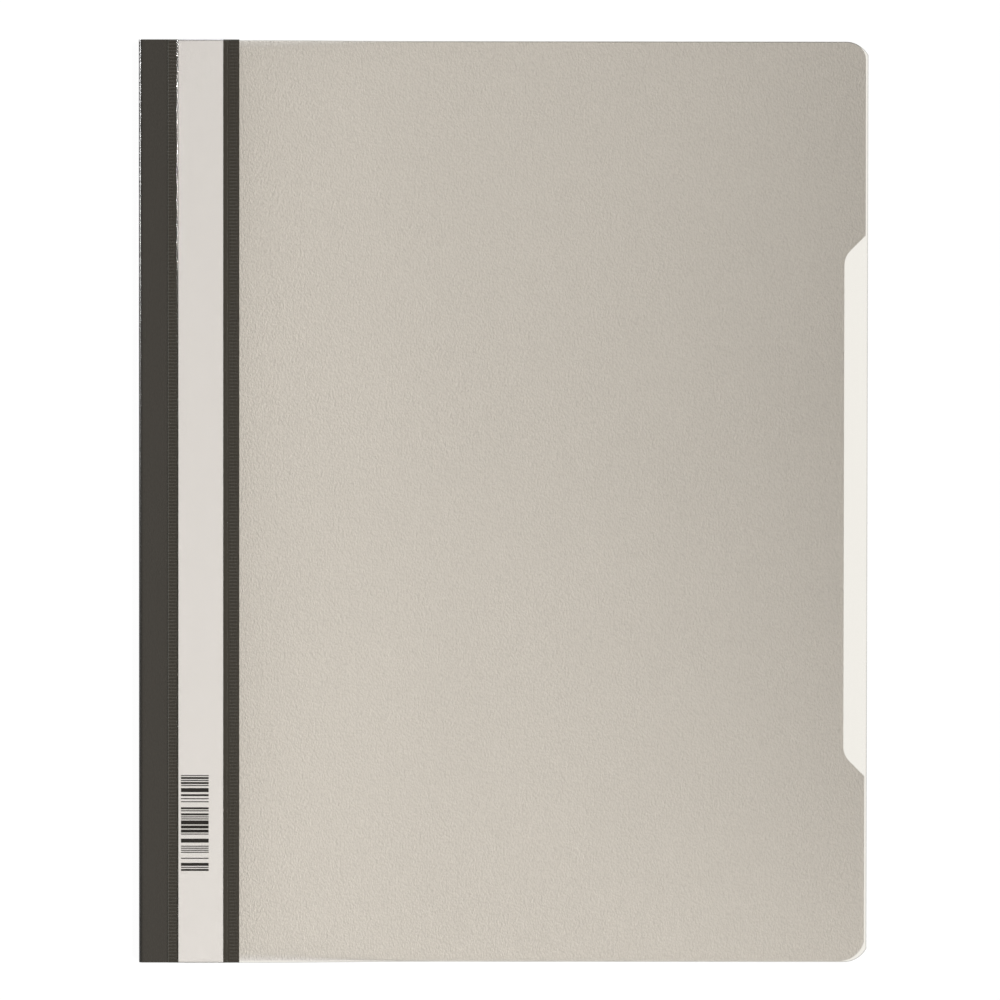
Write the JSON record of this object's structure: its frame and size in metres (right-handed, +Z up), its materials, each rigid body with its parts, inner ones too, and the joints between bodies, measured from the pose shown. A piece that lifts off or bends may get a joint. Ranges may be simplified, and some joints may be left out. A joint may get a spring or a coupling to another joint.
{
  "type": "clear view folder",
  "caption": "A4 report file with a grained back, dark spine strip, ladder-welded clear front cover, slide-in spine label, grip cut-out and a hidden prong fastener with its cover bar.",
  "frame": {"origin": "on the surface that the folder lies on, under the middle of its outer size", "axes": "+X from the spine to the fore edge, +Y from the foot to the head, +Z up, away from the back cover"},
  "size_m": [0.245, 0.31, 0.0041],
  "materials": {
    "grained_grey": "light grey plastic sheet with a fine leather-like grain",
    "spine_plastic": "dark warm grey plastic sheet, satin, finely grained",
    "clear_film": "clear glossy film, slightly warm in tone",
    "label_card": "plain white card",
    "fastener_steel": "bright tinned steel strip",
    "bar_plastic": "black moulded plastic"
  },
  "bodies": {
    "binder": {"back_cover": "grained_grey", "filing_strip": "spine_plastic", "spine_fold": "spine_plastic", "fastener_base": "fastener_steel"},
    "front_leg": {"front_strip": "spine_plastic", "label_window": "clear_film"},
    "cover": {"front_cover": "clear_film"},
    "label": {"label_strip": "label_card"},
    "upper_prong": {"upper_prong": "fastener_steel"},
    "lower_prong": {"lower_prong": "fastener_steel"},
    "bar": {"cover_bar": "bar_plastic"}
  },
  "joints": [
    {"name": "spine_hinge", "type": "hinge", "parent": "binder", "child": "front_leg", "pos_m": [-0.1219, 0, 0.002], "axis": [0, -1, 0], "range_deg": [0, 180], "deforming": ["spine_fold"]},
    {"name": "cover_crease", "type": "hinge", "parent": "front_leg", "child": "cover", "pos_m": [-0.0869, 0, 0.00415], "axis": [0, -1, 0], "range_deg": [0, 180]},
    {"name": "label_slide", "type": "slide", "parent": "front_leg", "child": "label", "axis": [0, 1, 0], "range_m": [-0.3, 0.3]},
    {"name": "upper_prong_bend", "type": "hinge", "parent": "binder", "child": "upper_prong", "pos_m": [-0.1025, 0.04, 0.00235], "axis": [-1, 0, 0], "range_deg": [0, 90]},
    {"name": "lower_prong_bend", "type": "hinge", "parent": "binder", "child": "lower_prong", "pos_m": [-0.1025, -0.04, 0.00235], "axis": [1, 0, 0], "range_deg": [0, 90]},
    {"name": "bar_lift", "type": "slide", "parent": "binder", "child": "bar", "axis": [0, 0, 1], "range_m": [0, 0.0079]}
  ],
  "couplings": [
    {"joint": "upper_prong_bend", "follows": "spine_hinge", "ratio": 0.5},
    {"joint": "lower_prong_bend", "follows": "spine_hinge", "ratio": 0.5},
    {"joint": "bar_lift", "follows": "spine_hinge", "m_per_rad": 0.0025}
  ]
}
